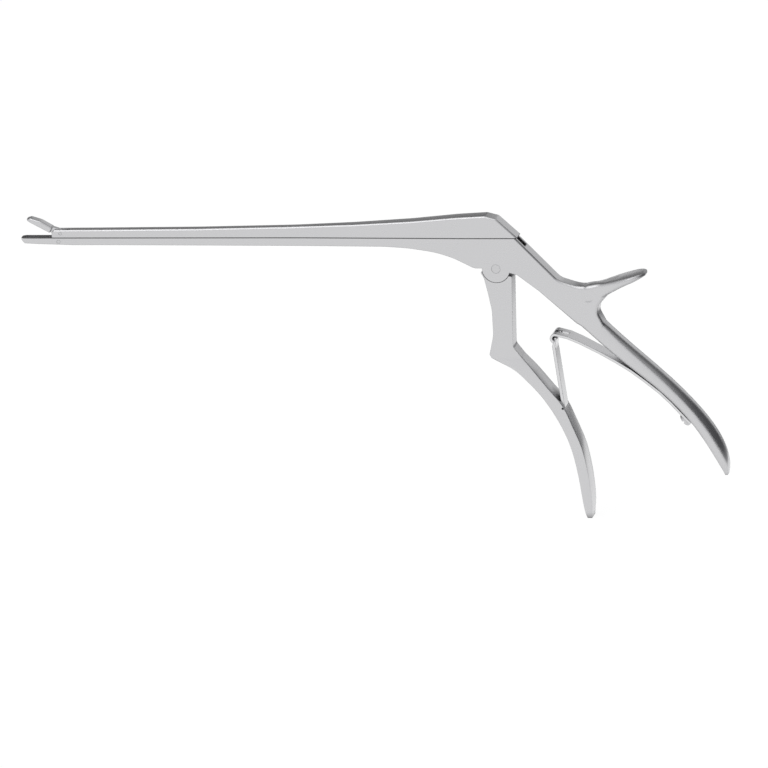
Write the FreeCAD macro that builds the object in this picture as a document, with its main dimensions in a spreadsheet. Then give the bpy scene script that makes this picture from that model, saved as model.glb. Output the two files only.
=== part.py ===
"""Bone rongeur with a sliding shaft, a hinged cup jaw and a double leaf spring.

Lengths are millimetres, angles degrees. X runs along the shafts from the jaws to the handles,
Z is up, and the instrument is symmetric about Y = 0. Every outline is drawn from the handle
pivot, and each finished piece is then placed so that the pivot lies at pivot_x, pivot_z: the
origin of the part is on the ground under the middle of the instrument. The jaw is open.
"""

import FreeCAD, Part
import Sketcher
import math
import os

doc = FreeCAD.newDocument("bone_rongeur")
sheet = doc.addObject("Spreadsheet::Sheet", "sizes")
cells = 0


class Term:
    """A size of the sheet, or a sum or product of sizes, with the words that bind it."""

    def __init__(self, value, words):
        self.value = value
        self.words = words

    def __add__(self, other):
        other = term(other)
        return Term(self.value + other.value, f"({self.words} + {other.words})")

    def __sub__(self, other):
        other = term(other)
        return Term(self.value - other.value, f"({self.words} - {other.words})")

    def __mul__(self, other):
        other = term(other)
        return Term(self.value * other.value, f"({self.words} * {other.words})")

    def __truediv__(self, other):
        other = term(other)
        return Term(self.value / other.value, f"({self.words} / {other.words})")

    def __neg__(self):
        return Term(-self.value, f"(-1 * {self.words})")

    def __radd__(self, other):
        return term(other) + self

    def __rsub__(self, other):
        return term(other) - self

    def __rmul__(self, other):
        return term(other) * self


def term(thing):
    """A plain number as a Term, and a Term as it is."""
    if isinstance(thing, Term):
        return thing
    return Term(float(thing), repr(float(thing)))


def sine(angle):
    """The sine of an angle that is kept in degrees."""
    return Term(math.sin(math.radians(angle.value)), f"sin({angle.words} * 1deg)")


def cosine(angle):
    """The cosine of an angle that is kept in degrees."""
    return Term(math.cos(math.radians(angle.value)), f"cos({angle.words} * 1deg)")


def size(name, value):
    """A named cell of the sheet."""
    global cells
    cells += 1
    sheet.set(f"A{cells}", name)
    sheet.set(f"B{cells}", str(value))
    sheet.setAlias(f"B{cells}", name)
    return Term(float(value), f"sizes.{name}")


def bind(thing, name, wanted):
    """Ties a property of an object to a size."""
    thing.setExpression(name, term(wanted).words)


def corner_arc(before, here, after, radius):
    """Where a rounded corner starts, its middle and where it ends."""
    into = (here - before).normalize()
    out = (after - here).normalize()
    turn = math.acos(max(-1.0, min(1.0, into.dot(out))))
    reach = radius * math.tan(turn / 2)
    start = here - into * reach
    end = here + out * reach
    inward = (out - into).normalize()
    middle = here + inward * (radius / math.cos(turn / 2) - radius)
    return start, middle, end


def fix(sketch, holds, sizes_of):
    """Adds all constraints of a sketch together, then ties the measured ones to the sheet."""
    first = len(holds)
    holds = holds + [Sketcher.Constraint(*where, wanted.value) for where, wanted in sizes_of]
    numbers = sketch.addConstraint(holds)
    for number, (where, wanted) in zip(numbers[first:], sizes_of):
        bind(sketch, f"Constraints[{number}]", wanted)


def draw(sketch, corners):
    """Draws a closed outline through corners (x, y) or (x, y, radius), each one bound to the sheet."""
    spots = [FreeCAD.Vector(term(c[0]).value, term(c[1]).value, 0) for c in corners]
    rounds = [term(c[2]) if len(c) > 2 else None for c in corners]
    count = len(corners)
    starts, ends, arcs = [], [], []
    for i in range(count):
        start = end = spots[i]
        arc = None
        if rounds[i] is not None:
            start, middle, end = corner_arc(spots[i - 1], spots[i], spots[(i + 1) % count], rounds[i].value)
            arc = sketch.addGeometry(Part.Arc(start, middle, end), False)
        starts.append(start)
        ends.append(end)
        arcs.append(arc)
    lines = []
    for i in range(count):
        lines.append(sketch.addGeometry(Part.LineSegment(ends[i], starts[(i + 1) % count]), False))
    holds, sizes_of = [], []
    for i in range(count):
        incoming, outgoing, arc = lines[i - 1], lines[i], arcs[i]
        holder = (outgoing, 1)
        if arc is None:
            holds.append(Sketcher.Constraint("Coincident", incoming, 2, outgoing, 1))
        else:
            first = near_end(sketch, arc, starts[i])
            point = sketch.addGeometry(Part.Point(spots[i]), True)
            holds.append(Sketcher.Constraint("Tangent", incoming, 2, arc, first))
            holds.append(Sketcher.Constraint("Tangent", arc, 3 - first, outgoing, 1))
            holds.append(Sketcher.Constraint("PointOnObject", point, 1, incoming))
            holds.append(Sketcher.Constraint("PointOnObject", point, 1, outgoing))
            sizes_of.append((("Radius", arc), rounds[i]))
            holder = (point, 1)
        sizes_of.append((("DistanceX", -1, 1, *holder), term(corners[i][0])))
        sizes_of.append((("DistanceY", -1, 1, *holder), term(corners[i][1])))
    fix(sketch, holds, sizes_of)
    return sketch


def near_end(sketch, arc, spot):
    """1 or 2, for the end of an arc that lies at spot."""
    return 1 if sketch.getPoint(arc, 1).distanceToPoint(spot) < 1e-6 else 2


def disc(sketch, x, y, radius):
    """A circle about a bound centre."""
    x, y, radius = term(x), term(y), term(radius)
    ring = sketch.addGeometry(
        Part.Circle(FreeCAD.Vector(x.value, y.value, 0), FreeCAD.Vector(0, 0, 1), radius.value), False
    )
    fix(sketch, [], [
        (("Radius", ring), radius),
        (("DistanceX", -1, 1, ring, 3), x),
        (("DistanceY", -1, 1, ring, 3), y),
    ])
    return sketch


def new_body(name):
    """An empty body of the document."""
    return doc.addObject("PartDesign::Body", name)


def sketch_on(body, name, role, offset=None):
    """A sketch on one of the body's own planes. Side views lie on XZ_Plane: their x is X, their y is Z."""
    sketch = body.newObject("Sketcher::SketchObject", name)
    plane = next(f for f in body.Origin.OriginFeatures if f.Role == role)
    sketch.AttachmentSupport = [(plane, "")]
    sketch.MapMode = "FlatFace"
    if offset is not None:
        bind(sketch, "AttachmentOffset.Base.z", offset)
    return sketch


def pad(body, sketch, length):
    """Material on both sides of the sketch."""
    doc.recompute()
    made = body.newObject("PartDesign::Pad", sketch.Name + "_pad")
    made.Profile = sketch
    made.Midplane = True
    bind(made, "Length", length)
    return made


def pocket(body, sketch, length=None, midplane=True, reverse=False):
    """A cut on both sides of the sketch, or on one side. With no length it goes right through."""
    doc.recompute()
    before = body.Shape.Volume
    made = body.newObject("PartDesign::Pocket", sketch.Name + "_cut")
    made.Profile = sketch
    made.Midplane = midplane
    made.Reversed = reverse
    if length is None:
        made.Type = 1
    else:
        bind(made, "Length", length)
    doc.recompute()
    if body.Shape.Volume >= before:
        raise RuntimeError(f"{made.Name} removes nothing")
    return made


def round_off(body, name, radius, test):
    """Rounds the edges whose whole length passes the test, which is given points of each edge."""
    doc.recompute()
    tip = body.Tip
    names = []
    for number, edge in enumerate(tip.Shape.Edges, 1):
        low, high = edge.ParameterRange
        if all(test(edge.valueAt(low + (high - low) * share)) for share in (0.02, 0.5, 0.98)):
            names.append(f"Edge{number}")
    if not names:
        raise RuntimeError(f"{name} finds no edge")
    made = body.newObject("PartDesign::Fillet", name)
    made.Base = (tip, names)
    bind(made, "Radius", radius)
    doc.recompute()
    if made.Shape.isNull() or not made.Shape.isValid():
        raise RuntimeError(f"{name} can't be rounded")
    return made


def both_sides(body, made):
    """Repeats a feature on the other side of the plane of symmetry."""
    copy = body.newObject("PartDesign::Mirrored", made.Name + "_mirror")
    copy.Originals = [made]
    plane = next(f for f in body.Origin.OriginFeatures if f.Role == "XZ_Plane")
    copy.MirrorPlane = (plane, [""])
    body.Tip = copy
    doc.recompute()
    return copy


# The whole instrument, measured from the handle pivot, then the fits, and then the pieces in turn.
pivot_x = size("pivot_x", 46.5)
pivot_z = size("pivot_z", 92.0)
working_length = size("working_length", 180.0)
heel_x = size("heel_x", 8.5)
parting = size("parting_height", 11.2)
shaft_wide = size("shaft_width", 3.8)
body_wide = size("body_width", 6.2)
pivot_r = size("pivot_pin_radius", 1.55)
press = size("press_clearance", 0.005)
running = size("running_clearance", 0.03)
slot_wide = size("tongue_slot_width", 3.0)
tongue_play = size("tongue_side_play", 0.06)
lobe_r = size("lobe_radius", 5.0)
slide_play = size("slide_clearance", 0.06)
rail_neck = size("rail_neck_width", 1.0)
rail_head = size("rail_head_width", 1.7)
rail_deep = size("rail_depth", 1.15)
hinge_back = size("hinge_behind_tip", 13.8)
hinge_low = size("hinge_below_parting", 1.4)
hinge_r = size("hinge_pin_radius", 0.6)
drive_arm = size("drive_arm", 3.1)
drive_r = size("drive_pin_radius", 0.5)
jaw_angle = size("jaw_open_angle", 29.0)
tail_wide = size("jaw_tail_width", 1.5)
tail_play = size("jaw_tail_side_play", 0.06)
lever = size("tongue_lever", 13.0)
nose_r = size("tongue_nose_radius", 1.3)
cup_wide = size("cup_width", 2.6)
cup_front = size("cup_front_wall", 1.4)
cup_long = size("cup_length", 4.8)
cup_deep = size("cup_depth", 1.2)
tail_slot_front = size("tail_slot_behind_tip", 8.9)
tail_slot_long = size("tail_slot_length", 7.3)
tang_wide = size("tang_width", 12.0)
grip_wide = size("grip_width", 8.5)
edge_r = size("body_edge_radius", 0.8)
front_gap = size("slider_behind_tip", 11.5)
slide_gap = size("parting_gap", 0.08)
peak = size("slider_height", 8.25)
shaft_high = size("slider_tip_height", 2.8)
fork_long = size("fork_length", 6.5)
top_r = size("slider_edge_radius", 0.65)
jaw_r = size("jaw_edge_radius", 0.55)
tongue_lean = size("tongue_lean", 3.35)
shoulder = size("jaw_shoulder_gap", 0.4)
jaw_thick = size("jaw_thickness", 2.15)
jaw_gap = size("jaw_bite_gap", 0.05)
hub = size("jaw_hub_radius", 1.05)
pin_gap = size("pin_end_inset", 0.02)
head_gap = size("handle_head_gap", 0.12)
leaf = size("leaf_thickness", 1.1)
seat = size("leaf_seat_clearance", 0.01)
leaf_long = size("leaf_foot_depth", 2.4)
foot_x = size("leaf_foot_x", 20.9)
foot_z = size("leaf_foot_z", -49.9)
rise = size("leaf_foot_angle", 5.3)
front_leaf_wide = size("front_leaf_width", 5.7)
leaf_pin_r = size("leaf_pin_radius", 0.4)
pin_down = size("leaf_pin_depth", 1.3)
ball_r = size("leaf_ball_radius", 0.75)
ball_set = size("leaf_ball_offset", 1.15)
catch_r = size("leaf_catch_radius", 0.7)
catch_wide = size("leaf_catch_width", 1.6)
leaf_rise = size("leaf_rise", 24.4)
rear_leaf = size("rear_leaf_thickness", 0.9)
rear_leaf_wide = size("rear_leaf_width", 6.8)
curl_wide = size("curl_width", 7.8)
seat_gap = size("screw_seat_gap", 0.05)
curl_gap = size("curl_clearance", 0.25)
curl_wall = size("curl_wall", 0.8)
head_r = size("screw_head_radius", 2.3)
head_high = size("screw_head_height", 1.5)
shank_r = size("screw_shank_radius", 1.1)
shank_long = size("screw_shank_length", 3.4)
screw_x = size("screw_x", 64.7)
screw_z = size("screw_z", -56.02)
screw_lean = size("screw_lean", 52.0)
doc.recompute()

tip_x = heel_x - working_length

# The joints between the pieces.

hinge_x = tip_x + hinge_back
hinge_z = parting - hinge_low
half_open = jaw_angle / 2
drive_x = hinge_x + drive_arm * sine(half_open)
drive_z = hinge_z + drive_arm * cosine(half_open)
travel = drive_arm * sine(half_open) * 2

# Fixed shaft: lower shaft with the fixed cup jaw, pivot cheeks, thumb tang and rear handle.


def shaft_plan(body, wide):
    """The cut that takes one flank of the body down to the slim shaft, and its mirror image."""
    flank = sketch_on(body, "flank", "XY_Plane")
    slim = shaft_wide / 2
    draw(flank, [
        (tip_x, 0), (tip_x, slim, slim * 0.95), (heel_x - working_length * 0.436, slim, 300),
        (heel_x - 18.5, wide, 60), (heel_x - 14.5, wide), (heel_x - 14.5, wide + 4),
        (tip_x - 4, wide + 4), (tip_x - 4, 0),
    ])
    return both_sides(body, pocket(body, flank))


frame = new_body("fixed_shaft")
side = sketch_on(frame, "side", "XZ_Plane")
draw(side, [
    (tip_x + 0.3, parting), (heel_x - 0.9, parting), (22.1, -4.5, 6), (29.5, -6.9, 12),
    (39.0, -6.0), (39.6, -9.8, 0.8), (36.1, -13.5, 3.5), (35.5, -16.3, 3.0), (37.4, -20.4),
    (35.5, -25.0), (27.7, -19.9), (15.0, -8.1), (7.5, -2.2, 1.5), (4.6, -1.4), (-4.8, 0.25),
    (-7.3, 0.25, 1), (-8.4, 0.6, 1), (-15.0, 4.0, 30), (-21.5, 6.1, 35), (-31.5, 7.6, 60),
    (-40.0, parting - 3.1, 60), (tip_x + 33.5, parting - 2.6), (tip_x + 19.5, parting - 2.6, 20),
    (tip_x + 6.5, parting - 2.17, 20), (tip_x + 1.6, parting - 1.9, 0.5), (tip_x - 0.2, parting - 0.5, 0.35),
])
pad(frame, side, body_wide)
on_flank = body_wide.value / 2 - 0.001
slope_end = heel_x.value - 0.5
round_off(frame, "slope_edges", edge_r, lambda v: abs(v.y) > on_flank and v.x > slope_end
          and (v.x < 39 and v.z > 2.7 - v.x * 0.3 or v.x > 34.5 and v.z < -8.7 and v.z > -20.5))
lobe = disc(sketch_on(frame, "lobe", "XZ_Plane"), 0, 0, lobe_r)
pad(frame, lobe, body_wide)
shaft_plan(frame, body_wide / 2)


def rounded(low, high, half, low_r, high_r):
    """The outline of a section from low to high, each corner rounded in three short steps."""
    way = 1 if term(high).value > term(low).value else -1
    outline = []
    for end, out, side, radius, turn in (
        (low, -way, -1, low_r, 180), (high, way, -1, high_r, 270), (high, way, 1, high_r, 0), (low, -way, 1, low_r, 90),
    ):
        for step in range(4):
            angle = math.radians(turn + step * 30)
            along = term(end) - out * radius * (1 - abs(math.cos(angle)))
            outline.append((along, (half - radius) * side + radius * math.sin(angle)))
    return outline


def grip_section(body, name, height, inner, outer, wide, inner_r, outer_r):
    """A level slice of a handle: flat inner face, and a back as round as outer_r makes it."""
    made = sketch_on(body, name, "XY_Plane", height)
    return draw(made, rounded(inner, outer, term(wide) / 2, inner_r, outer_r))


def loft(body, sections, name):
    """A smooth form through a row of sections."""
    doc.recompute()
    made = body.newObject("PartDesign::AdditiveLoft", name)
    made.Profile = sections[0]
    made.Sections = sections[1:]
    made.Ruled = False
    return made


rear = [grip_section(frame, f"rear_grip_{i}", *row) for i, row in enumerate([
    (-17.0, 25.7, 34.9, body_wide - 0.1, 0.3, 1.2),
    (-23.0, 31.4, 40.2, body_wide + 0.1, 0.4, 1.8),
    (-28.0, 36.7, 45.4, body_wide + 0.7, 0.5, 2.4),
    (-36.0, 45.8, 54.1, grip_wide - 1.0, 0.6, 3.0),
    (-44.0, 55.4, 62.3, grip_wide - 0.3, 0.7, 3.4),
    (-52.0, 63.2, 69.4, grip_wide, 0.8, 3.6),
    (-60.0, 69.2, 75.0, grip_wide, 0.8, 3.4),
    (-68.0, 73.7, 78.3, grip_wide - 0.6, 0.8, 2.8),
    (-73.0, 76.1, 78.8, grip_wide - 2.2, 0.7, 1.6),
    (-76.5, 77.3, 78.3, grip_wide - 5.6, 0.3, 0.5),
])]
loft(frame, rear, "rear_grip")


def tang_section(body, name, along, low, high, wide, radius):
    """An upright slice of the thumb tang."""
    made = sketch_on(body, name, "YZ_Plane", along)
    outline = rounded(low, high, term(wide) / 2, radius, radius)
    return draw(made, [(across, up) for up, across in outline])


tang = [tang_section(frame, f"tang_{i}", *row) for i, row in enumerate([
    (31.0, -12.3, -6.9, body_wide - 0.2, 0.9),
    (35.5, -11.6, -6.0, body_wide, 0.9),
    (40.0, -9.4, -4.9, tang_wide - 3.8, 0.9),
    (43.0, -7.6, -4.1, tang_wide - 2.0, 0.85),
    (46.0, -6.0, -3.35, tang_wide - 1.1, 0.7),
    (49.5, -4.45, -2.5, tang_wide - 1.4, 0.5),
    (52.3, -3.2, -2.0, tang_wide - 4.2, 0.35),
    (53.4, -2.8, -1.95, tang_wide - 8.5, 0.25),
])]
loft(frame, tang, "tang")

slot = sketch_on(frame, "tongue_slot", "XZ_Plane")
draw(slot, [
    (-6.9, parting + 2), (10.7, parting + 2), (10.7, 7.6, 1), (6.9, 1.5), (6.9, -9), (-6.9, -9),
])
pocket(frame, slot, slot_wide)

rail_slot = sketch_on(frame, "rail_slot", "YZ_Plane", heel_x - 87.5)
neck = rail_neck / 2 + slide_play
head = rail_head / 2 + slide_play
draw(rail_slot, [
    (-neck, parting + 1), (-neck, parting - 0.1), (-head, parting - rail_deep + 0.4),
    (-head, parting - rail_deep - slide_play), (head, parting - rail_deep - slide_play),
    (head, parting - rail_deep + 0.4), (neck, parting - 0.1), (neck, parting + 1),
])
pocket(frame, rail_slot, working_length - 28.0)

tail_slot = sketch_on(frame, "tail_slot", "XZ_Plane")
slot_start = tip_x + tail_slot_front
draw(tail_slot, [
    (slot_start, parting + 1), (slot_start + tail_slot_long, parting + 1),
    (slot_start + tail_slot_long, parting - 4), (slot_start, parting - 4),
])
pocket(frame, tail_slot, tail_wide + tail_play * 2)

cup = sketch_on(frame, "cup", "XY_Plane", parting)
draw(cup, [
    (tip_x + cup_front, -cup_wide / 2, 1.2), (tip_x + cup_front + cup_long, -cup_wide / 2, 0.6),
    (tip_x + cup_front + cup_long, cup_wide / 2, 0.6), (tip_x + cup_front, cup_wide / 2, 1.2),
])
pocket(frame, cup, cup_deep * 2)

holes = sketch_on(frame, "pin_holes", "XZ_Plane")
disc(holes, 0, 0, pivot_r + press)
disc(holes, hinge_x, hinge_z, hinge_r + press)
pocket(frame, holes)

# Sliding shaft: rides on the fixed shaft and carries the drive pin of the jaw.
slider = new_body("sliding_shaft")
front_x = tip_x + front_gap
under = parting + slide_gap
form = sketch_on(slider, "side_of_slider", "XZ_Plane")
draw(form, [
    (front_x, under), (heel_x - 0.1, under), (1.2, parting + 7.0, 1.2), (-2.9, parting + peak - 0.15, 3),
    (-13.5, parting + peak - 0.75, 40), (-30.0, parting + 6.0, 60), (-51.0, parting + 4.75, 100),
    (heel_x - working_length * 0.453, parting + 3.9, 200), (heel_x - working_length * 0.642, parting + 3.2, 400),
    (front_x + 17, parting + shaft_high + 0.1, 600),
    (front_x + 1, parting + shaft_high), (front_x, parting + shaft_high - 0.8),
])
pad(slider, form, body_wide)
shaft_plan(slider, body_wide / 2)
above = parting.value + 1
round_off(slider, "top_edges", top_r, lambda v: v.z > above and abs(v.y) > 1.0 and v.x > front_x.value + 0.9)
rail = sketch_on(slider, "rail", "YZ_Plane", heel_x - 88.0)
draw(rail, [
    (-rail_neck / 2, under + 0.3), (-rail_neck / 2, parting - 0.1), (-rail_head / 2, parting - rail_deep + 0.4),
    (-rail_head / 2, parting - rail_deep), (rail_head / 2, parting - rail_deep),
    (rail_head / 2, parting - rail_deep + 0.4), (rail_neck / 2, parting - 0.1), (rail_neck / 2, under + 0.3),
])
pad(slider, rail, working_length - 36.0)
fork = sketch_on(slider, "fork", "XZ_Plane")
draw(fork, [
    (front_x - 1, parting - 3), (front_x + fork_long, parting - 3),
    (front_x + fork_long, parting + 6), (front_x - 1, parting + 6),
])
pocket(slider, fork, tail_wide + tail_play * 2)
notch = sketch_on(slider, "notch", "XZ_Plane")
nose_x = sine(tongue_lean) * lever
half_notch = nose_r + running
draw(notch, [
    (nose_x - half_notch, parting - 3), (nose_x + half_notch, parting - 3),
    (nose_x + half_notch, lever + 2.3, 0.6), (nose_x - half_notch, lever + 2.3, 0.6),
])
pocket(slider, notch, slot_wide)
drive_hole = disc(sketch_on(slider, "drive_hole", "XZ_Plane"), drive_x, drive_z, drive_r + press)
pocket(slider, drive_hole)

# Hinged cup jaw, drawn closed and turned open about its hinge pin.
jaw = new_body("upper_jaw")
bite = parting + jaw_gap
back_x = front_x - travel - shoulder
jaw_side = sketch_on(jaw, "jaw_side", "XZ_Plane")
draw(jaw_side, [
    (tip_x + 0.15, bite), (back_x, bite), (back_x, parting + jaw_thick - 0.15, 0.2),
    (tip_x + 4.9, parting + jaw_thick, 6), (tip_x + 1.1, parting + 1.35, 1.2), (tip_x + 0.05, parting + 0.6, 0.4),
])
pad(jaw, jaw_side, shaft_wide)
tail = sketch_on(jaw, "tail", "XZ_Plane")
draw(tail, [
    (back_x - 1.2, bite), (hinge_x - 2.6, bite), (hinge_x - hub, hinge_z + 0.9, 0.4), (hinge_x - hub, hinge_z),
    (hinge_x + hub, hinge_z), (hinge_x + hub, hinge_z + 2.4, 1.2),
    (hinge_x + hub - 0.2, parting + jaw_thick + 0.45, 0.9), (hinge_x - 1.6, parting + jaw_thick + 0.45, 1.4),
    (back_x - 0.4, parting + jaw_thick - 0.1),
])
pad(jaw, tail, tail_wide)
hub_disc = disc(sketch_on(jaw, "hub", "XZ_Plane"), hinge_x, hinge_z, hub)
pad(jaw, hub_disc, tail_wide)
jaw_plan = sketch_on(jaw, "jaw_plan", "XY_Plane")
slim = shaft_wide / 2
draw(jaw_plan, [
    (tip_x, 0), (tip_x, slim, slim * 0.95), (back_x + 3, slim), (back_x + 3, slim + 3),
    (tip_x - 4, slim + 3), (tip_x - 4, 0),
])
both_sides(jaw, pocket(jaw, jaw_plan))
jaw_top = parting.value + 0.7
round_off(jaw, "jaw_edges", jaw_r, lambda v: v.z > jaw_top and abs(v.y) > tail_wide.value / 2 + 0.1 and v.x < back_x.value - 0.1)
jaw_cup = sketch_on(jaw, "jaw_cup", "XY_Plane", bite)
draw(jaw_cup, [
    (tip_x + cup_front, -cup_wide / 2, 1.2), (tip_x + cup_front + cup_long, -cup_wide / 2, 0.6),
    (tip_x + cup_front + cup_long, cup_wide / 2, 0.6), (tip_x + cup_front, cup_wide / 2, 1.2),
])
pocket(jaw, jaw_cup, cup_deep * 2 - 0.4)
hinge_hole = disc(sketch_on(jaw, "hinge_hole", "XZ_Plane"), hinge_x, hinge_z, hinge_r + running)
pocket(jaw, hinge_hole)
lean = half_open
lo, hi = drive_arm - 0.12, drive_arm + 0.03
wide = drive_r + running
track = sketch_on(jaw, "drive_slot", "XZ_Plane")
sx, cx = sine(lean), cosine(lean)
draw(track, [
    (hinge_x - (lo - wide) * sx + wide * cx, hinge_z + (lo - wide) * cx + wide * sx, drive_r * 0.9),
    (hinge_x - (hi + wide) * sx + wide * cx, hinge_z + (hi + wide) * cx + wide * sx, drive_r * 0.9),
    (hinge_x - (hi + wide) * sx - wide * cx, hinge_z + (hi + wide) * cx - wide * sx, drive_r * 0.9),
    (hinge_x - (lo - wide) * sx - wide * cx, hinge_z + (lo - wide) * cx - wide * sx, drive_r * 0.9),
])
pocket(jaw, track)

# Pins.


def pin(name, x, z, radius, length):
    """A plain cross pin."""
    made = new_body(name)
    end = disc(sketch_on(made, name + "_end", "XZ_Plane"), x, z, radius)
    pad(made, end, length)
    return made


pivot_pin = pin("handle_pivot_pin", 0, 0, pivot_r, body_wide - pin_gap * 2)
hinge_pin = pin("jaw_hinge_pin", hinge_x, hinge_z, hinge_r, shaft_wide - pin_gap * 2)
drive_pin = pin("jaw_drive_pin", drive_x, drive_z, drive_r, shaft_wide - pin_gap * 2)

# Front handle: tongue in the slot of the frame, hooked finger rest and long curved grip.
handle = new_body("front_handle")
head_side = sketch_on(handle, "handle_side", "XZ_Plane")
draw(head_side, [
    (-5.8, -0.9, 0.4), (5.6, -2.9, 0.3), (5.0, -15.0, 20), (4.4, -28.8, 2), (11.3, -38.2, 20), (16.5, -44.4),
    (12.7, -46.0), (11.5, -44.4, 30), (7.7, -40.3, 30), (3.9, -36.9, 20), (-3.7, -32.8, 0.8),
    (-4.3, -31.5, 0.7), (-2.5, -24.5, 12), (-2.4, -15.2, 12), (-3.4, -8.9, 12), (-4.5, -3.3, 6),
])
pad(handle, head_side, body_wide)
recess = disc(sketch_on(handle, "lobe_recess", "XZ_Plane"), 0, 0, lobe_r + head_gap)
pocket(handle, recess)
tongue = sketch_on(handle, "tongue", "XZ_Plane")
draw(tongue, [
    (-3.0, -7.5), (-4.6, -2.5), (-4.8, 0.5), (-3.4, 5.0, 3), (nose_x - 0.9, lever - 2.6, 1), (nose_x - nose_r + 0.25, lever - 0.6),
    (nose_x + nose_r - 0.25, lever - 0.6), (nose_x + 0.9, lever - 2.6, 1), (4.4, 4.0, 3), (4.8, 0), (4.6, -7.5),
])
pad(handle, tongue, slot_wide - tongue_play * 2)
nose = disc(sketch_on(handle, "nose", "XZ_Plane"), nose_x, lever, nose_r)
pad(handle, nose, slot_wide - tongue_play * 2)
front = [grip_section(handle, f"front_grip_{i}", *row) for i, row in enumerate([
    (-32.4, 7.1, -3.5, body_wide - 0.1, 0.3, 0.3),
    (-34.0, 8.45, -1.3, body_wide + 0.5, 0.3, 0.4),
    (-36.0, 10.15, 2.4, body_wide + 1.1, 0.3, 0.5),
    (-38.0, 11.75, 5.3, body_wide + 1.6, 0.3, 0.6),
    (-41.0, 14.05, 8.3, grip_wide - 0.4, 0.3, 0.7),
    (-44.5, 16.7, 11.5, grip_wide - 0.2, 0.3, 0.8),
    (-50.0, 20.9, 15.5, grip_wide - 0.1, 0.3, 0.9),
    (-57.0, 23.9, 19.4, grip_wide, 0.4, 0.9),
    (-64.0, 26.5, 22.2, grip_wide, 0.4, 1.0),
    (-72.0, 28.2, 24.1, grip_wide, 0.4, 1.0),
    (-81.0, 29.1, 25.3, grip_wide - 0.3, 0.4, 1.0),
    (-88.0, 29.1, 25.9, grip_wide - 1.6, 0.4, 1.0),
    (-92.0, 28.7, 26.8, grip_wide - 2.8, 0.4, 0.8),
])]
loft(handle, front, "front_grip")
foot = sketch_on(handle, "leaf_slot", "XZ_Plane")
sr, cr = sine(rise), cosine(rise)


def along(distance, across):
    """A point of the front leaf, up along it from its foot and across it towards +X."""
    distance, across = term(distance), term(across)
    return (foot_x - distance * sr + across * cr, foot_z + distance * cr + across * sr)


draw(foot, [
    along(-leaf_long - seat, -leaf / 2 - seat), along(6, -leaf / 2 - seat),
    along(6, leaf / 2 + seat), along(-leaf_long - seat, leaf / 2 + seat),
])
pocket(handle, foot, front_leaf_wide + seat * 2)
pin_hole = sketch_on(handle, "handle_pin_holes", "XZ_Plane")
disc(pin_hole, 0, 0, pivot_r + running)
leaf_pin_spot = along(-pin_down, 0)
disc(pin_hole, *leaf_pin_spot, leaf_pin_r + press)
pocket(handle, pin_hole)
leaf_pin = pin("front_leaf_pin", *leaf_pin_spot, leaf_pin_r, grip_wide - 2.2)

# Front leaf spring: foot in the handle, ball on its tip, and a catch that stands in the slot of the curl.
front_leaf = new_body("front_leaf_spring")
blade = sketch_on(front_leaf, "blade", "XZ_Plane")
draw(blade, [
    along(-leaf_long, -leaf / 2), along(leaf_rise - 3, -leaf / 2), along(leaf_rise + 0.2, ball_set - 0.5),
    along(leaf_rise, ball_set + 0.5), along(leaf_rise - 3, leaf / 2), along(-leaf_long, leaf / 2),
])
pad(front_leaf, blade, front_leaf_wide)
ball = disc(sketch_on(front_leaf, "ball", "XZ_Plane"), *along(leaf_rise, ball_set), ball_r)
pad(front_leaf, ball, front_leaf_wide - 1.5)
catch = disc(sketch_on(front_leaf, "catch", "XZ_Plane"), *along(leaf_rise + 0.8, ball_set + 1.0), catch_r)
pad(front_leaf, catch, catch_wide)
leaf_hole = disc(sketch_on(front_leaf, "leaf_hole", "XZ_Plane"), *leaf_pin_spot, leaf_pin_r + press)
pocket(front_leaf, leaf_hole)

# Rear leaf spring: lies along the rear handle, its far end curled round the ball of the front leaf.
rear_spring = new_body("rear_leaf_spring")
ball_x, ball_z = along(leaf_rise, ball_set)
curl_in = ball_r + curl_gap
band = sketch_on(rear_spring, "band", "XZ_Plane")
draw(band, [
    (ball_x + 1.1, ball_z + curl_in - 0.25), (28.0, -27.4, 45), (35.6, -31.5, 80), (46.0, -38.0, 80),
    (55.9, -46.0, 60), (62.8, -53.5, 60), (67.8, -60.0), (68.5, -59.5), (63.5, -52.9, 60), (56.5, -45.3, 60),
    (46.6, -37.2, 80), (36.1, -30.7, 80), (28.5, -26.6, 45), (ball_x + 0.8, ball_z + curl_in + curl_wall - 0.2),
])
pad(rear_spring, band, curl_wide)
outer = disc(sketch_on(rear_spring, "curl", "XZ_Plane"), ball_x, ball_z, curl_in + curl_wall)
pad(rear_spring, outer, curl_wide)
inner = disc(sketch_on(rear_spring, "curl_bore", "XZ_Plane"), ball_x, ball_z, curl_in)
pocket(rear_spring, inner)
mouth = sketch_on(rear_spring, "mouth", "XZ_Plane")
draw(mouth, [
    (ball_x - 1.3, ball_z - 0.6), (ball_x, ball_z), (ball_x + 3.6, ball_z - 0.2),
    (ball_x + 3.6, ball_z - 4), (ball_x - 2.6, ball_z - 4),
])
pocket(rear_spring, mouth)
leaf_plan = sketch_on(rear_spring, "leaf_plan", "XY_Plane")
draw(leaf_plan, [
    (ball_x + 2.5, curl_wide / 2), (34.0, rear_leaf_wide / 2, 30), (72.0, rear_leaf_wide / 2),
    (72.0, 8), (ball_x + 2.5, 8),
])
both_sides(rear_spring, pocket(rear_spring, leaf_plan))
catch_slot = sketch_on(rear_spring, "catch_slot", "XZ_Plane")
draw(catch_slot, [
    (ball_x - 0.6, ball_z + 0.1), (ball_x + 3.2, ball_z + 0.1), (ball_x + 3.2, ball_z + 4), (ball_x - 0.6, ball_z + 4),
])
pocket(rear_spring, catch_slot, catch_wide + 1)

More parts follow.
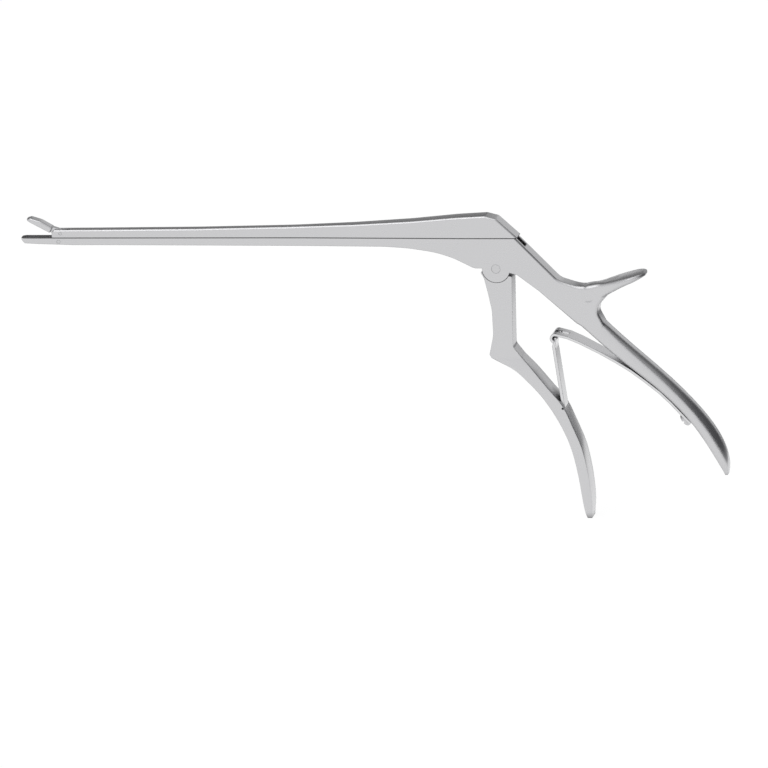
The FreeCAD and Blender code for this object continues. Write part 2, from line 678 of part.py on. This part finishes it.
# Slotted screw through the rear leaf into the handle. Its axis lies square to the leaf.
def screw_spot(out, down):
    """A point near the screw: out of the leaf along the axis, and down along the leaf."""
    out, down = term(out), term(down)
    x = screw_x - out * sine(screw_lean) + down * cosine(screw_lean)
    z = screw_z - out * cosine(screw_lean) - down * sine(screw_lean)
    return x, z


def turned(body, name, corners, kind):
    """A turned form or a turned hole about the screw's axis, from corners (out, radius)."""
    made = sketch_on(body, name, "XZ_Plane")
    draw(made, [screw_spot(*corner[:2]) + tuple(corner[2:]) for corner in corners])
    ends = [screw_spot(-6, 0), screw_spot(6, 0)]
    spots = [FreeCAD.Vector(x.value, z.value, 0) for x, z in ends]
    axis = made.addGeometry(Part.LineSegment(*spots), True)
    fix(made, [], [
        (("DistanceX", -1, 1, axis, 1), ends[0][0]),
        (("DistanceY", -1, 1, axis, 1), ends[0][1]),
        (("DistanceX", -1, 1, axis, 2), ends[1][0]),
        (("DistanceY", -1, 1, axis, 2), ends[1][1]),
    ])
    doc.recompute()
    whole = body.newObject("PartDesign::" + kind, name + "_turned")
    whole.Profile = made
    whole.ReferenceAxis = (made, ["Axis0"])
    whole.Angle = 360
    doc.recompute()
    return whole


screw = new_body("rear_spring_screw")
turned(screw, "screw_form", [
    (-shank_long, 0), (-shank_long, shank_r), (seat_gap, shank_r), (seat_gap, head_r),
    (head_high - 0.3, head_r), (head_high, head_r - 0.3), (head_high, 0),
], "Revolution")
driver = sketch_on(screw, "driver_slot", "XZ_Plane")
draw(driver, [
    screw_spot(head_high - 0.55, -0.35), screw_spot(head_high + 1, -0.35),
    screw_spot(head_high + 1, 0.35), screw_spot(head_high - 0.55, 0.35),
])
pocket(screw, driver)
hole_end = -shank_long - 0.3
turned(frame, "screw_bore", [
    (hole_end, 0), (hole_end, shank_r + press), (-0.2, shank_r + press), (-0.2, 0),
], "Groove")
turned(rear_spring, "leaf_bore", [
    (-rear_leaf - 1, 0), (-rear_leaf - 1, shank_r + running), (1, shank_r + running), (1, 0),
], "Groove")

# Every piece goes to its place in the instrument. The jaw is turned open about its hinge pin.
pieces = [
    frame, slider, jaw, pivot_pin, hinge_pin, drive_pin, handle, leaf_pin, front_leaf, rear_spring, screw,
]
for piece in pieces:
    bind(piece, "Placement.Base.x", pivot_x)
    bind(piece, "Placement.Base.z", pivot_z)
ca, sa = cosine(jaw_angle), sine(jaw_angle)
bind(jaw, "Placement.Base.x", pivot_x + hinge_x - hinge_x * ca - hinge_z * sa)
bind(jaw, "Placement.Base.z", pivot_z + hinge_z + hinge_x * sa - hinge_z * ca)
jaw.setExpression("Placement.Rotation.Axis.x", "0")
jaw.setExpression("Placement.Rotation.Axis.y", "1")
jaw.setExpression("Placement.Rotation.Axis.z", "0")
bind(jaw, "Placement.Rotation.Angle", jaw_angle)
doc.recompute()

os.makedirs("parts", exist_ok=True)
for item in doc.Objects:
    if "Invalid" in item.State or "Error" in item.State:
        raise RuntimeError(f"{item.Name} is {item.State}")
for piece in pieces:
    shape = piece.Shape
    if shape.isNull() or not shape.isValid() or len(shape.Solids) != 1:
        raise RuntimeError(f"{piece.Label} is not one sound solid")
    shape.exportStep(f"parts/{piece.Label}.step")
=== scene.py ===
"""Bone rongeur in satin stainless steel: materials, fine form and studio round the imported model."""

import math

import bmesh
import bpy
from mathutils import Matrix, Vector


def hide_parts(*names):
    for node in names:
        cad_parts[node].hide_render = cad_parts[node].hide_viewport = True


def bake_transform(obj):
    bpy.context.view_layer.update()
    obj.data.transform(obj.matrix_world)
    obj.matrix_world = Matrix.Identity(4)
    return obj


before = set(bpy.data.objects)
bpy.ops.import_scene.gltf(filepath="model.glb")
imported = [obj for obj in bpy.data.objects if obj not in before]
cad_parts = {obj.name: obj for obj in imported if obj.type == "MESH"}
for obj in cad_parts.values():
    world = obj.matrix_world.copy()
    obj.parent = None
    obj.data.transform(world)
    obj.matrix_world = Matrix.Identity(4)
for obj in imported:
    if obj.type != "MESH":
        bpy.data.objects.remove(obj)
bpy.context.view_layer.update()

# The camera. A long lens looks from the front, a little from the right and from above, with the
# slight roll of the photograph. Its three directions are the frame's right, up and back.
pivot = Vector((0.0465, 0.0, 0.0920))
photo_side = 768
pivot_px, pivot_py = 497.55, 266.46
cam_right = Vector((0.9754, 0.2099, -0.0658)).normalized()
cam_back = Vector((0.2200, -0.9306, 0.2919)).normalized()
cam_up = cam_back.cross(cam_right).normalized()
cam_right = cam_up.cross(cam_back).normalized()
mm_per_pixel = 1 / 2.84
m_per_pixel = mm_per_pixel / 1000
aside, above = (pivot_px - photo_side / 2) * m_per_pixel, (photo_side / 2 - pivot_py) * m_per_pixel
middle = pivot - cam_right * aside - cam_up * above
cam_far = 12.0
camera = bpy.data.objects.new("camera", bpy.data.cameras.new("camera"))
camera.data.sensor_width = 36
camera.data.lens = camera.data.sensor_width * cam_far / (photo_side * m_per_pixel)
camera.data.clip_start = 1
camera.data.clip_end = 200
turn = Matrix((cam_right, cam_up, cam_back)).transposed()
camera.matrix_world = Matrix.Translation(middle + cam_back * cam_far) @ turn.to_4x4()
bpy.context.scene.collection.objects.link(camera)
bpy.context.scene.camera = camera
bpy.context.scene.view_settings.view_transform = "Standard"

# The room. It is bright in front and overhead. Low at the back it fades from white to dark, and a
# dark curtain hangs to the right, which draws the dark lines along the rounded edges.
world = bpy.data.worlds.new("room")
bpy.context.scene.world = world
world.use_nodes = True
nodes, links = world.node_tree.nodes, world.node_tree.links
nodes.clear()
place = nodes.new("ShaderNodeTexCoord")
parts = nodes.new("ShaderNodeSeparateXYZ")
links.new(place.outputs["Generated"], parts.inputs[0])
height = nodes.new("ShaderNodeMath")
height.operation = "MULTIPLY_ADD"
height.inputs[1].default_value = 0.5
height.inputs[2].default_value = 0.5
links.new(parts.outputs["Z"], height.inputs[0])


def sky(stops):
    """Brightness from the nadir, 0, over the horizon, 0.5, to the zenith, 1."""
    made = nodes.new("ShaderNodeValToRGB")
    made.color_ramp.elements[0].position = 0
    made.color_ramp.elements[0].color = (1, 1, 1, 1)
    made.color_ramp.elements[1].position = 1
    made.color_ramp.elements[1].color = (stops[-1][1],) * 3 + (1,)
    for spot, grey in stops[:-1]:
        made.color_ramp.elements.new(spot).color = (grey, grey, grey * 1.01, 1)
    links.new(height.outputs[0], made.inputs[0])
    return made.outputs[0]


def step(source, low, high, bottom=0.0, top=1.0):
    """A soft step from bottom to top as the source goes from low to high."""
    made = nodes.new("ShaderNodeMapRange")
    made.interpolation_type = "SMOOTHSTEP"
    for label, value in (("From Min", low), ("From Max", high), ("To Min", bottom), ("To Max", top)):
        made.inputs[label].default_value = value
    links.new(source, made.inputs["Value"])
    return made.outputs[0]


front_sky = sky([
    (0.50, 0.86), (0.57, 1.08), (0.62, 0.95), (0.68, 0.72), (0.76, 0.66), (0.88, 0.82), (1, 0.88),
])
back_sky = sky([
    (0.495, 0.95), (0.545, 0.65), (0.58, 0.40), (0.62, 0.20), (0.80, 0.12), (0.90, 0.5), (1, 0.95),
])
side = nodes.new("ShaderNodeMix")
side.data_type = "RGBA"
links.new(step(parts.outputs["Y"], -0.35, 0.30), side.inputs["Factor"])
links.new(front_sky, side.inputs["A"])

# A light wall stands behind, a little to the right. Sloping backs mirror it, level tops miss it.
wall = nodes.new("ShaderNodeMix")
wall.data_type = "RGBA"
wall.inputs["B"].default_value = (0.74, 0.74, 0.745, 1)
wide = nodes.new("ShaderNodeMath")
wide.operation = "MULTIPLY"
tall = nodes.new("ShaderNodeMath")
tall.operation = "MULTIPLY"
links.new(step(parts.outputs["X"], -0.14, 0.04), wide.inputs[0])
links.new(step(parts.outputs["X"], 0.40, 0.54, 1.0, 0.0), wide.inputs[1])
links.new(wide.outputs[0], tall.inputs[0])
links.new(step(parts.outputs["Z"], 0.40, 0.56, 1.0, 0.0), tall.inputs[1])
links.new(tall.outputs[0], wall.inputs["Factor"])
links.new(back_sky, wall.inputs["A"])
links.new(wall.outputs["Result"], side.inputs["B"])
curtain = nodes.new("ShaderNodeMath")
curtain.operation = "MULTIPLY"
links.new(step(parts.outputs["X"], 0.46, 0.66), curtain.inputs[0])
links.new(step(parts.outputs["Z"], 0.52, 0.76, 1.0, 0.0), curtain.inputs[1])
hung = nodes.new("ShaderNodeMix")
hung.data_type = "RGBA"
hung.inputs["B"].default_value = (0.09, 0.09, 0.095, 1)
links.new(curtain.outputs[0], hung.inputs["Factor"])
links.new(side.outputs["Result"], hung.inputs["A"])
air = nodes.new("ShaderNodeBackground")
out = nodes.new("ShaderNodeOutputWorld")
white = nodes.new("ShaderNodeBackground")
white.inputs[0].default_value = (1, 1, 1, 1)
path = nodes.new("ShaderNodeLightPath")
shown = nodes.new("ShaderNodeMixShader")
links.new(hung.outputs["Result"], air.inputs[0])
links.new(path.outputs["Is Camera Ray"], shown.inputs[0])
links.new(air.outputs[0], shown.inputs[1])
links.new(white.outputs[0], shown.inputs[2])
links.new(shown.outputs[0], out.inputs[0])

# The table. White paper without an edge in sight. It glows for the lens so that the ground stays
# white. Polished faces see a grey area on it to the right, which starts nearer at the back.
floor_mesh = bpy.data.meshes.new("table")
reach = 30.0
corners = [(-reach, -reach, 0), (reach, -reach, 0), (reach, reach, 0), (-reach, reach, 0)]
floor_mesh.from_pydata(corners, [], [(0, 1, 2, 3)])
floor = bpy.data.objects.new("table", floor_mesh)
bpy.context.scene.collection.objects.link(floor)
paper = bpy.data.materials.new("white_table")
paper.use_nodes = True
nodes, links = paper.node_tree.nodes, paper.node_tree.links
nodes.clear()
matt = nodes.new("ShaderNodeBsdfDiffuse")
matt.inputs["Color"].default_value = (0.9, 0.9, 0.9, 1)
glow = nodes.new("ShaderNodeEmission")
glow.inputs["Strength"].default_value = 1.05
place = nodes.new("ShaderNodeTexCoord")
parts = nodes.new("ShaderNodeSeparateXYZ")
links.new(place.outputs["Object"], parts.inputs[0])
behind = nodes.new("ShaderNodeMath")
behind.operation = "MULTIPLY"
behind.inputs[1].default_value = -0.3
links.new(parts.outputs["Y"], behind.inputs[0])
before = nodes.new("ShaderNodeMath")
before.operation = "MULTIPLY"
before.inputs[1].default_value = -1
links.new(parts.outputs["Y"], before.inputs[0])
lean = nodes.new("ShaderNodeMath")
lean.operation = "MAXIMUM"
links.new(before.outputs[0], lean.inputs[0])
links.new(behind.outputs[0], lean.inputs[1])
wedge = nodes.new("ShaderNodeMath")
wedge.operation = "SUBTRACT"
links.new(parts.outputs["X"], wedge.inputs[0])
links.new(lean.outputs[0], wedge.inputs[1])
dim = step(wedge.outputs[0], 0.17, 0.24)
curtain = nodes.new("ShaderNodeMath")
curtain.operation = "MULTIPLY"
links.new(dim, curtain.inputs[0])
tone = nodes.new("ShaderNodeMix")
tone.data_type = "RGBA"
tone.inputs["A"].default_value = (1, 1, 1, 1)
tone.inputs["B"].default_value = (0.22, 0.22, 0.225, 1)
links.new(curtain.outputs[0], tone.inputs["Factor"])
links.new(tone.outputs["Result"], glow.inputs[0])
path = nodes.new("ShaderNodeLightPath")
seen = nodes.new("ShaderNodeMath")
seen.operation = "MAXIMUM"
seen_2 = nodes.new("ShaderNodeMath")
seen_2.operation = "MAXIMUM"
share = nodes.new("ShaderNodeMath")
share.operation = "MULTIPLY"
share.inputs[1].default_value = 0.9
mix = nodes.new("ShaderNodeMixShader")
out = nodes.new("ShaderNodeOutputMaterial")
links.new(path.outputs["Is Camera Ray"], seen.inputs[0])
links.new(path.outputs["Is Glossy Ray"], seen.inputs[1])
links.new(path.outputs["Is Glossy Ray"], curtain.inputs[1])
links.new(seen.outputs[0], seen_2.inputs[0])
links.new(path.outputs["Is Transmission Ray"], seen_2.inputs[1])
links.new(seen_2.outputs[0], share.inputs[0])
links.new(share.outputs[0], mix.inputs[0])
links.new(matt.outputs[0], mix.inputs[1])
links.new(glow.outputs[0], mix.inputs[2])
links.new(mix.outputs[0], out.inputs[0])
floor_mesh.materials.append(paper)

# Two square soft lamps, one in front and above, one behind.
for name, spot, size, power in (
    ("lamp_front", (-0.5, -1.3, 1.9), 1.6, 9),
    ("lamp_back", (-0.6, 1.0, 2.4), 1.2, 4.5),
):
    data = bpy.data.lights.new(name, "AREA")
    data.size = size
    data.energy = power
    lamp = bpy.data.objects.new(name, data)
    lamp.location = spot
    aim = (Vector((-0.02, 0, 0.06)) - Vector(spot)).to_track_quat("-Z", "Y")
    lamp.rotation_euler = aim.to_euler()
    bpy.context.scene.collection.objects.link(lamp)


# The finish that all the steel pieces share, each with values of its own.
def satin_group():
    """Even beaded satin with faint lines and clouding, eased edges with a painted reflection tone,
    and painted shade in seams.

    Rear Width widens the easing towards the handles, and with it the painted edge tone. Parting is
    the height of the painted dark line of shade between the shafts."""
    group = bpy.data.node_groups.new("satin_finish", "ShaderNodeTree")
    face = group.interface
    for label, kind, value in (
        ("Steel", "NodeSocketColor", (0.6, 0.6, 0.6, 1)),
        ("Painted Edge Reflection", "NodeSocketColor", (0.75, 0.75, 0.75, 1)),
        ("Roughness", "NodeSocketFloat", 0.35), ("Grain", "NodeSocketFloat", 0.2),
        ("Edge Width", "NodeSocketFloat", 0.0003), ("Painted Shade Reach", "NodeSocketFloat", 0.0006),
        ("Parting", "NodeSocketFloat", 0.0), ("Rear Width", "NodeSocketFloat", 0.0),
    ):
        made = face.new_socket(name=label, in_out="INPUT", socket_type=kind)
        made.default_value = value
    for label, kind in (
        ("Color", "NodeSocketColor"), ("Roughness", "NodeSocketFloat"),
        ("Height", "NodeSocketFloat"), ("Normal", "NodeSocketVector"),
    ):
        face.new_socket(name=label, in_out="OUTPUT", socket_type=kind)
    n, l = group.nodes, group.links
    inp, res = n.new("NodeGroupInput"), n.new("NodeGroupOutput")
    spot = n.new("ShaderNodeTexCoord")

    def noise(scale, detail, stretch):
        mapped = n.new("ShaderNodeMapping")
        mapped.inputs["Scale"].default_value = stretch
        l.new(spot.outputs["Object"], mapped.inputs["Vector"])
        made = n.new("ShaderNodeTexNoise")
        made.inputs["Scale"].default_value = scale
        made.inputs["Detail"].default_value = detail
        l.new(mapped.outputs[0], made.inputs["Vector"])
        return made.outputs["Fac"]

    def maths(kind, a, b):
        made = n.new("ShaderNodeMath")
        made.operation = kind
        for k, v in enumerate((a, b)):
            if hasattr(v, "links"):
                l.new(v, made.inputs[k])
            else:
                made.inputs[k].default_value = v
        return made.outputs[0]

    beads = noise(5200, 3, (1, 1, 1))
    lines = noise(900, 2, (0.04, 1, 1))
    cloud = noise(45, 3, (1, 1, 1))
    bevel = n.new("ShaderNodeBevel")
    bevel.samples = 6
    place = n.new("ShaderNodeSeparateXYZ")
    l.new(spot.outputs["Object"], place.inputs[0])
    behind = n.new("ShaderNodeMapRange")
    behind.inputs["From Min"].default_value = 0.0615
    behind.inputs["From Max"].default_value = 0.0900
    l.new(place.outputs["X"], behind.inputs["Value"])
    wider = maths("MULTIPLY", behind.outputs[0], inp.outputs["Rear Width"])
    l.new(maths("ADD", inp.outputs["Edge Width"], wider), bevel.inputs["Radius"])
    l.new(bevel.outputs[0], res.inputs["Normal"])
    plain = n.new("ShaderNodeNewGeometry")
    dot = n.new("ShaderNodeVectorMath")
    dot.operation = "DOT_PRODUCT"
    l.new(bevel.outputs[0], dot.inputs[0])
    l.new(plain.outputs["Normal"], dot.inputs[1])
    edge = n.new("ShaderNodeMapRange")
    edge.inputs["From Min"].default_value = 0.995
    edge.inputs["From Max"].default_value = 0.90
    l.new(dot.outputs["Value"], edge.inputs["Value"])
    # Painted reflection: on the eased edges the colour turns to the edge tone, which stands in for
    # the room mirrored there. The same mask also makes the edges smoother, as rubbing does.
    wear_and_painted_reflection = maths("MULTIPLY", edge.outputs[0], maths("ADD", maths("MULTIPLY", cloud, 0.5), 0.6))
    tone = n.new("ShaderNodeMix")
    tone.data_type = "RGBA"
    l.new(wear_and_painted_reflection, tone.inputs["Factor"])
    l.new(inp.outputs["Steel"], tone.inputs["A"])
    l.new(inp.outputs["Painted Edge Reflection"], tone.inputs["B"])
    shade = n.new("ShaderNodeMix")
    shade.data_type = "RGBA"
    shade.blend_type = "MULTIPLY"
    shade.inputs["Factor"].default_value = 1
    speckle = maths("ADD", maths("MULTIPLY", cloud, 0.03), maths("MULTIPLY", beads, 0.03))
    grey = maths("ADD", speckle, 0.97)
    # Painted shade: ambient occlusion darkens the colour near other faces, in seams and creases and
    # close to neighbouring parts.
    painted_crease_shade = n.new("ShaderNodeAmbientOcclusion")
    painted_crease_shade.samples = 8
    l.new(inp.outputs["Painted Shade Reach"], painted_crease_shade.inputs["Distance"])
    painted_shade_factor = n.new("ShaderNodeMapRange")
    painted_shade_factor.inputs["From Min"].default_value = 0.25
    painted_shade_factor.inputs["From Max"].default_value = 0.75
    painted_shade_factor.inputs["To Min"].default_value = 0.25
    l.new(painted_crease_shade.outputs["AO"], painted_shade_factor.inputs["Value"])
    # Painted shade: a dark line at the parting height, where the gap between the shafts lies in
    # shade.
    painted_parting_shade = n.new("ShaderNodeMapRange")
    painted_parting_shade.interpolation_type = "SMOOTHSTEP"
    painted_parting_shade.inputs["From Min"].default_value = 0.00010
    painted_parting_shade.inputs["From Max"].default_value = 0.00026
    painted_parting_shade.inputs["To Min"].default_value = 0.30
    off_parting = maths("SUBTRACT", place.outputs["Z"], inp.outputs["Parting"])
    l.new(maths("ABSOLUTE", off_parting, 0), painted_parting_shade.inputs["Value"])
    l.new(tone.outputs["Result"], shade.inputs["A"])
    speckle_and_painted_shade = maths("MULTIPLY", maths("MULTIPLY", grey, painted_shade_factor.outputs[0]), painted_parting_shade.outputs[0])
    l.new(speckle_and_painted_shade, shade.inputs["B"])
    l.new(shade.outputs["Result"], res.inputs["Color"])
    clouded = maths("MULTIPLY", maths("SUBTRACT", cloud, 0.5), 0.12)
    lined = maths("MULTIPLY", maths("SUBTRACT", lines, 0.5), 0.05)
    swing = maths("ADD", inp.outputs["Roughness"], maths("ADD", clouded, lined))
    rough = maths("SUBTRACT", swing, maths("MULTIPLY", wear_and_painted_reflection, 0.06))
    l.new(rough, res.inputs["Roughness"])
    relief = maths("ADD", beads, maths("MULTIPLY", lines, 0.5))
    l.new(maths("MULTIPLY", relief, inp.outputs["Grain"]), res.inputs["Height"])
    return group


def steel(
    name, colour, painted_edge_reflection, roughness, grain, edge=0.0003, parting=0.0, rear=0.0, painted_crease_shade=0.0006,
):
    """A stainless steel with its own tone, painted reflection tone on eased edges, gloss, grain and
    widths in metres.
    """
    made = bpy.data.materials.new(name)
    made.use_nodes = True
    n, l = made.node_tree.nodes, made.node_tree.links
    skin = n["Principled BSDF"]
    skin.inputs["Metallic"].default_value = 1
    finish = n.new("ShaderNodeGroup")
    finish.node_tree = satin
    finish.inputs["Steel"].default_value = (*colour, 1)
    finish.inputs["Painted Edge Reflection"].default_value = (*painted_edge_reflection, 1)
    finish.inputs["Roughness"].default_value = roughness
    finish.inputs["Grain"].default_value = grain
    finish.inputs["Edge Width"].default_value = edge
    finish.inputs["Parting"].default_value = parting
    finish.inputs["Rear Width"].default_value = rear
    finish.inputs["Painted Shade Reach"].default_value = painted_crease_shade
    bump = n.new("ShaderNodeBump")
    bump.inputs["Strength"].default_value = 0.02
    bump.inputs["Distance"].default_value = 0.00002
    l.new(finish.outputs["Normal"], bump.inputs["Normal"])
    l.new(finish.outputs["Color"], skin.inputs["Base Color"])
    l.new(finish.outputs["Roughness"], skin.inputs["Roughness"])
    l.new(finish.outputs["Height"], bump.inputs["Height"])
    l.new(bump.outputs[0], skin.inputs["Normal"])
    return made


def dress(node, finish):
    """Gives a CAD node its material."""
    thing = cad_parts[node]
    thing.data.materials.clear()
    thing.data.materials.append(finish)
    weld = thing.modifiers.new("weld", "WELD")
    weld.merge_threshold = 0.000002
    smooth = thing.modifiers.new("smooth", "EDGE_SPLIT")
    smooth.split_angle = math.radians(32)
    for face in thing.data.polygons:
        face.use_smooth = True


def spring_piece(name, points, faces, material):
    """A smooth piece from points and faces, with its normals outward and its corners kept sharp."""
    mesh = bpy.data.meshes.new(name)
    mesh.from_pydata(points, [], faces)
    work = bmesh.new()
    work.from_mesh(mesh)
    bmesh.ops.recalc_face_normals(work, faces=work.faces)
    work.to_mesh(mesh)
    work.free()
    for face in mesh.polygons:
        face.use_smooth = True
    mesh.materials.append(material)
    piece = bpy.data.objects.new(name, mesh)
    bpy.context.scene.collection.objects.link(piece)
    sharp = piece.modifiers.new("sharp", "EDGE_SPLIT")
    sharp.split_angle = math.radians(38)
    return piece


satin = satin_group()

# Fixed shaft: one forging in martensitic stainless steel, milled along the shaft, then beaded to
# an even satin and eased by hand along its edges, more so at the tang and the rear grip.
# Painted reflection: a dark edge tone along the eased edges.
forged = steel(
    "forged_satin", (0.61, 0.61, 0.62), (0.24, 0.24, 0.25), 0.27, 0.12, edge=0.0003,
    # Painted shade: the dark line at the parting between the shafts.
    parting=0.1032, rear=0.0013,
)
dress("fixed_shaft", forged)

# Sliding shaft: the same steel and finish, milled to slide on the lower shaft.
dress("sliding_shaft", forged)

# Upper jaw: the same steel, its cup ground out, hinged on a pin.
dress("upper_jaw", forged)

# Front handle: forged and beaded like the shaft. Painted shade darkens it more where the spring's
# foot stands, and its eased edges carry a painted dark reflection tone.
gripped = steel(
    "grip_satin", (0.61, 0.61, 0.62), (0.40, 0.40, 0.41), 0.27, 0.12, edge=0.0003, painted_crease_shade=0.004,
)
dress("front_handle", gripped)

# Rear leaf spring: a strip of spring steel, rolled at its top into an eye with a slot for the
# front leaf's catch, bent to a long bow and screwed to the rear handle.
# It has no hole drawn: the screw's shank passes through it out of sight, under the head.
# Painted reflection and shade: a dark edge tone along the eased edges, and painted shade where the
# strip comes close to the handles.
sprung = steel(
    "spring_steel", (0.68, 0.68, 0.69), (0.20, 0.20, 0.21), 0.22, 0.1, edge=0.0003, painted_crease_shade=0.0018,
)
strip_thick, eye_radius, eye_x, eye_z = 0.00088, 0.0014, 0.0663, 0.0665
eye_half, narrowing, taper_from, taper_long = 0.0039, 0.0005, 0.0680, 0.0125
slot_half, slot_ahead = 0.0013, 0.0006
corner_cut, corner_step = 0.0004, 0.0005
bow = [Vector(point) for point in (
    (0.07060, 0.06685), (0.07475, 0.06500), (0.07830, 0.06310), (0.08235, 0.06090),
    (0.08760, 0.05780), (0.09280, 0.05440), (0.09790, 0.05040), (0.10270, 0.04635),
    (0.10630, 0.04265), (0.10965, 0.03880), (0.11170, 0.03620), (0.11280, 0.03468),
)]
line = []
for degrees in range(250, 64, -10):
    t = math.radians(degrees)
    line.append(Vector((eye_x + eye_radius * math.cos(t), eye_z + eye_radius * math.sin(t))))
turn_end = len(line)
line += bow
last = len(line) - 1
strip_points, strip_faces = [], []
for i, point in enumerate(line):
    ahead = (line[min(i + 1, last)] - line[max(i - 1, 0)]).normalized()
    off = Vector((-ahead.y, ahead.x)) * strip_thick / 2
    taper = min(max((point.x - taper_from) / taper_long, 0), 1) if i >= turn_end else 0
    half = eye_half - narrowing * taper
    if i >= last - 1:
        half -= corner_cut + corner_step * (i - last + 1)
    for way in (-1, 1):
        for y in (-half, -slot_half, slot_half, half):
            strip_points.append((point.x + way * off.x, y, point.y + way * off.y))
slot_from = next(
    i for i, point in enumerate(line) if point.x > eye_x - slot_ahead and point.y > eye_z
)
for i in range(last):
    a, b = 8 * i, 8 * i + 8
    cut = slot_from <= i < turn_end
    for column in (0, 1, 2):
        if cut and column == 1:
            continue
        strip_faces.append((a + column, b + column, b + column + 1, a + column + 1))
        strip_faces.append((a + 4 + column, a + 5 + column, b + 5 + column, b + 4 + column))
    strip_faces += [(a, a + 4, b + 4, b), (a + 3, b + 3, b + 7, a + 7)]
    if cut:
        strip_faces += [(a + 1, b + 1, b + 5, a + 5), (a + 2, a + 6, b + 6, b + 2)]
closed = [8 * i + column for i in (0, last) for column in (0, 1, 2)]
closed += [8 * i + 1 for i in (slot_from, turn_end)]
strip_faces += [(k, k + 1, k + 5, k + 4) for k in closed]
rear_strip = spring_piece("rear_leaf_strip", strip_points, strip_faces, sprung)
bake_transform(rear_strip)
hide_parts("rear_leaf_spring")

# Front leaf spring: a strip of the same steel, pinned in a slot of the front handle. At its top it
# carries the round knob that works in the eye and a small catch disc.
foot_x, foot_z, lean = 0.0674, 0.0421, math.radians(5.3)
blade_half, blade_thick_half, foot_depth, row_step, round_steps = 0.00285, 0.00055, 0.0024, 0.0014, 24


def leaf_point(up, across, y):
    """A point up along the leaf from its foot and across it to the rear, in metres."""
    x = foot_x - up * math.sin(lean) + across * math.cos(lean)
    return (x, y, foot_z + up * math.cos(lean) + across * math.sin(lean))


blade_points, blade_faces = [], []
rows = [(-foot_depth + row_step * i, -blade_thick_half, blade_thick_half) for i in range(18)]
rows += [(0.0230, 0.00005, 0.00112), (0.0245, 0.00062, 0.00162)]
for up, low, high in rows:
    section = ((low, -blade_half), (high, -blade_half), (high, blade_half), (low, blade_half))
    blade_points += [leaf_point(up, a, y) for a, y in section]
for i in range(len(rows) - 1):
    for k in range(4):
        j = (k + 1) % 4
        blade_faces.append((4 * i + k, 4 * i + j, 4 * i + 4 + j, 4 * i + 4 + k))
blade_faces += [(3, 2, 1, 0), tuple(4 * len(rows) - 4 + k for k in range(4))]
knob, catch = (0.0244, 0.00115, 0.00075, 0.0021), (0.0252, 0.00215, 0.00070, 0.0008)
for up, across, radius, half in (knob, catch):
    first = len(blade_points)
    for y in (-half, half):
        for k in range(round_steps):
            t = math.tau * k / round_steps
            spot = (up + radius * math.sin(t), across + radius * math.cos(t))
            blade_points.append(leaf_point(*spot, y))
    for k in range(round_steps):
        j = (k + 1) % round_steps
        blade_faces.append((first + k, first + round_steps + k, first + round_steps + j, first + j))
    for end in (first, first + round_steps):
        blade_faces.append(tuple(end + k for k in range(round_steps)))
front_strip = spring_piece("front_leaf_strip", blade_points, blade_faces, sprung)
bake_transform(front_strip)
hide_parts("front_leaf_spring")

# The four pins and the screw: turned stainless rod, pressed or screwed in and ground flush.
# Painted reflection: a lighter edge tone along the eased edges.
ground = steel("pin_steel", (0.59, 0.59, 0.60), (0.70, 0.70, 0.71), 0.25, 0.3, edge=0.0001)
for pin in (
    "handle_pivot_pin", "jaw_hinge_pin", "jaw_drive_pin", "front_leaf_pin", "rear_spring_screw",
):
    dress(pin, ground)
